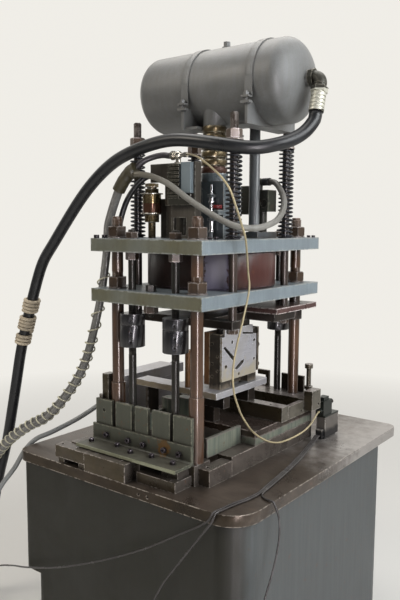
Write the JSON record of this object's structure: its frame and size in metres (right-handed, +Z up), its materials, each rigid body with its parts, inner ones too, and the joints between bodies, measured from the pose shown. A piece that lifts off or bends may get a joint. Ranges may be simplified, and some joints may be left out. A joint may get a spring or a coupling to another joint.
{
  "type": "pneumatic cutoff press",
  "caption": "Post-guided air-powered cutoff press on a steel bench cabinet, with an air tank on top, coil return springs, a slotted cutting die and draped hoses and cables.",
  "frame": {"origin": "middle of the table's footprint at floor level", "axes": "+X towards the side where the cut pieces leave, -Y towards the front with the stop plates, +Z up"},
  "size_m": [1.6577, 1.507, 2.2475],
  "materials": {
    "cabinet_paint": "satin grey-green paint, scuffed",
    "worn_table_steel": "worn brown steel",
    "dark_steel": "oiled dark steel",
    "rusty_steel": "brown rusted steel",
    "grey_green_paint": "worn grey-green paint",
    "black_screws": "black oxide",
    "green_paint": "worn green-grey paint",
    "blue_grey_paint": "blue-grey paint, chipped edges",
    "red_oxide": "red oxide paint, worn",
    "bright_steel": "bright machined steel",
    "bronze": "bronze",
    "spring_steel": "black spring steel",
    "tank_paint": "mid grey paint",
    "dark_iron": "dark iron",
    "olive_brass": "dull olive brass",
    "chrome_steel": "bright ground rod",
    "red_plastic": "red",
    "black_rubber": "black hose rubber",
    "sleeve_grey": "wrapped sleeve",
    "grey_hose": "grey hose",
    "brown_hose": "grey-brown hose",
    "cream_tube": "cream tubing",
    "grey_cable": "grey cable",
    "dark_cable": "dark cable"
  },
  "bodies": {
    "frame": {"cabinet": "cabinet_paint", "table_top": "worn_table_steel", "base_runners": "dark_steel", "front_bars": "rusty_steel", "angle_bracket": "grey_green_paint", "stop_plates": "grey_green_paint", "cap_screws": "black_screws", "side_walls": "green_paint", "base_plate": "worn_table_steel", "guide_rails": "rusty_steel", "posts": "rusty_steel", "frame_nuts": "rusty_steel", "lower_plate": "blue_grey_paint", "top_plate": "blue_grey_paint", "tie_rods": "dark_steel", "couplings": "dark_steel", "cylinder_barrel": "red_oxide", "rod_bushing": "bronze", "return_springs": "spring_steel", "die_shoe": "bright_steel", "die_risers": "dark_steel", "die_block": "dark_steel", "face_plate": "bright_steel", "die_strip": "rusty_steel", "infeed_shelf": "bright_steel", "tank_shell": "tank_paint", "tank_saddles": "tank_paint", "support_pipes": "blue_grey_paint", "tank_elbow": "dark_iron", "stack_valve": "blue_grey_paint", "stack_coupling": "olive_brass", "spool_rod": "chrome_steel", "valve_bracket": "rusty_steel", "solenoid_valve": "dark_iron", "supply_tee": "olive_brass", "air_filter": "olive_brass", "side_valve": "green_paint", "limit_valve": "bright_steel", "cord_fittings": "bright_steel", "main_hose": "black_rubber", "hose_bundle": "sleeve_grey", "grey_hose": "grey_hose", "brown_hose": "brown_hose", "black_hose": "black_rubber", "air_tube": "cream_tube", "feeder_cable": "grey_cable", "switch_cable_a": "dark_cable", "switch_cable_b": "dark_cable", "switch_cable_c": "dark_cable"},
    "ram": {"piston": "bright_steel", "piston_rod": "bright_steel", "platen": "dark_steel", "platen_shelf": "rusty_steel", "post_bushings": "dark_steel", "punch_holder": "dark_steel", "cutter_blade": "bright_steel", "spring_rods": "rusty_steel", "spring_nuts": "rusty_steel"},
    "plunger": {"limit_plunger": "dark_steel"},
    "knob": {"reset_knob": "red_plastic"}
  },
  "joints": [
    {"name": "ram_slide", "type": "slide", "parent": "frame", "child": "ram", "axis": [0, 0, 1], "range_m": [-0.018, 0], "stiffness_N_per_m": 27500, "springref_m": 0.068, "deforming": ["return_springs"]},
    {"name": "limit_plunger_slide", "type": "slide", "parent": "frame", "child": "plunger", "axis": [0, 1, 0], "range_m": [-0.004, 0], "stiffness_N_per_m": 400, "springref_m": 0.004},
    {"name": "reset_knob_push", "type": "slide", "parent": "frame", "child": "knob", "axis": [0, 0, 1], "range_m": [-0.004, 0], "stiffness_N_per_m": 500, "springref_m": 0.004}
  ]
}
